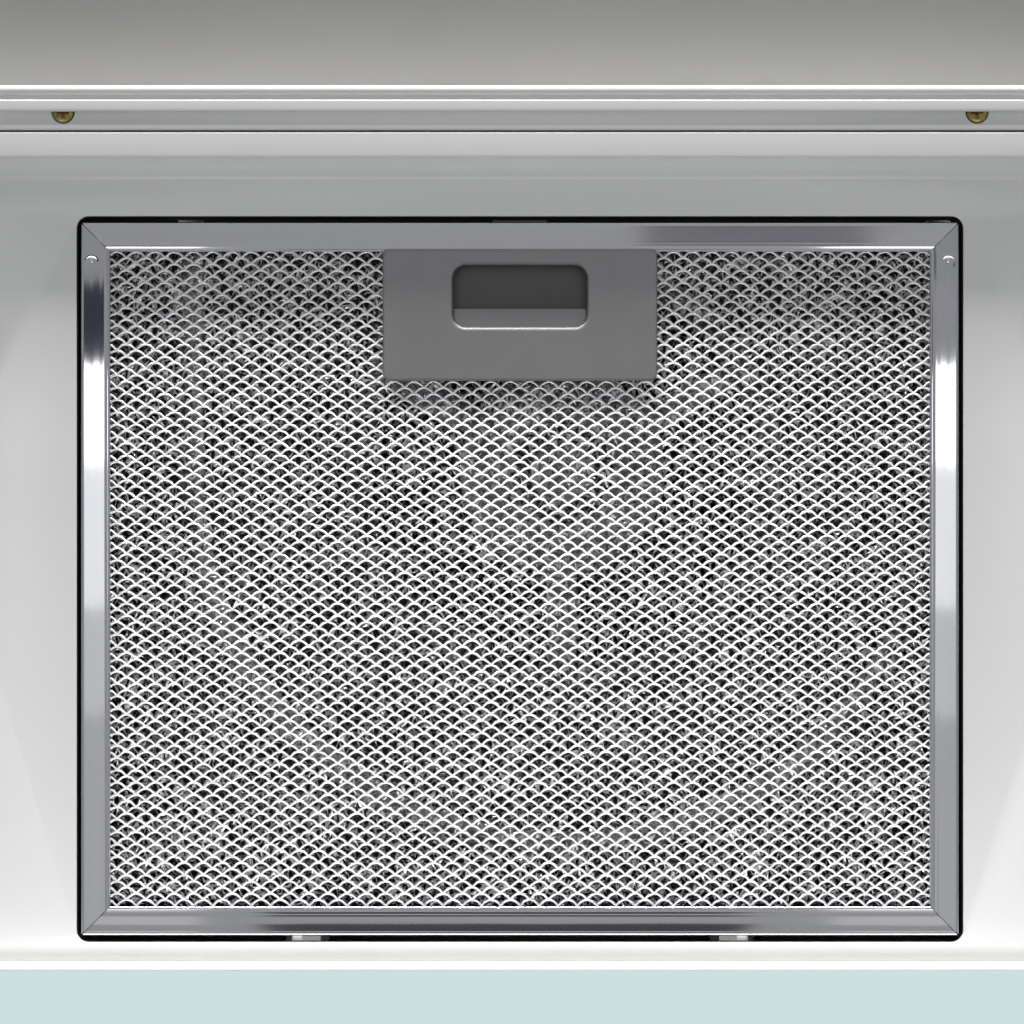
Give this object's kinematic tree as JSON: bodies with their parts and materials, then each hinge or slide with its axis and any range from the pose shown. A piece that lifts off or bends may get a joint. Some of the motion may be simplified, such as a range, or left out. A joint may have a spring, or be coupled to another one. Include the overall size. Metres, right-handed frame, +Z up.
{
  "type": "under cabinet range hood",
  "caption": "Slim telescopic under-cabinet range hood with pull-out visor, drop-down aluminium mesh grease filter, side lamps and a top duct collar.",
  "frame": {"origin": "centre of the footprint, at the level of the lowest face of the body", "axes": "+X to the right seen from the front, +Y to the wall, +Z up to the duct"},
  "size_m": [0.598, 0.5084, 0.22],
  "materials": {
    "enamel": "semi-gloss light grey-white stove enamel with fine orange peel",
    "galvanised": "zinc-coated sheet, dull spangle",
    "bright_ring": "bright spun aluminium",
    "filter_frame": "bright rolled aluminium channel",
    "filter_mesh": "bright expanded aluminium",
    "filter_plate": "satin pressed aluminium",
    "spring_steel": "bright steel",
    "brass_screw": "yellow passivated",
    "zinc_screw": "zinc plated",
    "chrome_bezel": "polished",
    "frosted_lens": "frosted",
    "lamp_body": "fine grain",
    "fan_plastic": "glass-filled nylon",
    "motor_paint": "dark grey, satin",
    "housing_plastic": "moulded, fine grain",
    "grey_plastic": "moulded, fine grain",
    "button_plastic": "moulded, gloss",
    "indicator": "clear red",
    "shaft_steel": "ground",
    "rubber": "moulded",
    "black_plastic": "moulded"
  },
  "bodies": {
    "chassis": {"side_panel_left": "enamel", "side_panel_right": "enamel", "rear_panel": "enamel", "underside_pan": "enamel", "front_rail": "enamel", "top_plate": "galvanised", "hanging_bracket_left": "galvanised", "hanging_bracket_right": "galvanised", "bracket_screws": "zinc_screw", "front_rail_screws": "brass_screw", "blower_ring": "bright_ring", "blower_housing": "housing_plastic", "inlet_cone": "galvanised", "motor_can": "motor_paint", "motor_screws": "zinc_screw", "motor_bracket": "galvanised", "outlet_collar": "black_plastic", "damper_pins": "shaft_steel", "terminal_box": "grey_plastic", "terminal_box_cover": "grey_plastic", "cable_gland": "black_plastic", "run_capacitor": "grey_plastic", "lamp_housing_left": "lamp_body", "lamp_housing_right": "lamp_body", "lamp_bezel_left": "chrome_bezel", "lamp_bezel_right": "chrome_bezel", "lamp_lens_left": "frosted_lens", "lamp_lens_right": "frosted_lens", "fixed_runner_left": "galvanised", "fixed_runner_right": "galvanised", "runner_stops": "rubber", "visor_switch": "black_plastic"},
    "visor": {"visor_sheet": "enamel", "visor_rail_left": "galvanised", "visor_rail_right": "galvanised", "fascia": "enamel", "fascia_cap_left": "grey_plastic", "fascia_cap_right": "grey_plastic", "control_plate": "grey_plastic", "switch_module": "black_plastic", "indicator_lens": "indicator"},
    "fan": {"motor_shaft": "shaft_steel", "fan_wheel": "fan_plastic", "fan_nut": "zinc_screw"},
    "filter": {"filter_frame_front": "filter_frame", "filter_frame_rear": "filter_frame", "filter_frame_left": "filter_frame", "filter_frame_right": "filter_frame", "filter_mesh_face": "filter_mesh", "filter_mesh_core": "filter_mesh", "filter_handle": "filter_plate", "filter_tongues": "filter_frame", "latch_spring": "spring_steel"},
    "latch": {"latch_slider": "filter_plate"},
    "damper_left": {"damper_flap_left": "black_plastic"},
    "damper_right": {"damper_flap_right": "black_plastic"},
    "button_light_body": {"button_light": "button_plastic"},
    "button_speed_low_body": {"button_speed_low": "button_plastic"},
    "button_speed_medium_body": {"button_speed_medium": "button_plastic"},
    "button_speed_high_body": {"button_speed_high": "button_plastic"}
  },
  "joints": [
    {"name": "visor_slide", "type": "slide", "parent": "chassis", "child": "visor", "axis": [0, 1, 0], "range_m": [0, 0.17]},
    {"name": "filter_swing", "type": "hinge", "parent": "chassis", "child": "filter", "pos_m": [0, 0.2442, 0.01], "axis": [1, 0, 0], "range_deg": [0, 75]},
    {"name": "latch_slide", "type": "slide", "parent": "filter", "child": "latch", "axis": [0, 1, 0], "range_m": [0, 0.005], "stiffness_N_per_m": 250, "springref_m": -0.004, "deforming": ["latch_spring"]},
    {"name": "fan_spin", "type": "hinge", "parent": "chassis", "child": "fan", "pos_m": [0.0177, 0.0735, 0.1], "axis": [0, 0, 1], "continuous": true},
    {"name": "damper_left_swing", "type": "hinge", "parent": "chassis", "child": "damper_left", "pos_m": [-0.0035, 0.0735, 0.165], "axis": [0, 1, 0], "range_deg": [0, 75]},
    {"name": "damper_right_swing", "type": "hinge", "parent": "chassis", "child": "damper_right", "pos_m": [0.0035, 0.0735, 0.165], "axis": [0, -1, 0], "range_deg": [0, 75]},
    {"name": "button_light_press", "type": "slide", "parent": "visor", "child": "button_light_body", "axis": [0, 1, 0], "range_m": [0, 0.0025], "stiffness_N_per_m": 400, "springref_m": -0.001},
    {"name": "button_speed_low_press", "type": "slide", "parent": "visor", "child": "button_speed_low_body", "axis": [0, 1, 0], "range_m": [0, 0.0025], "stiffness_N_per_m": 400, "springref_m": -0.001},
    {"name": "button_speed_medium_press", "type": "slide", "parent": "visor", "child": "button_speed_medium_body", "axis": [0, 1, 0], "range_m": [0, 0.0025], "stiffness_N_per_m": 400, "springref_m": -0.001},
    {"name": "button_speed_high_press", "type": "slide", "parent": "visor", "child": "button_speed_high_body", "axis": [0, 1, 0], "range_m": [0, 0.0025], "stiffness_N_per_m": 400, "springref_m": -0.001}
  ]
}
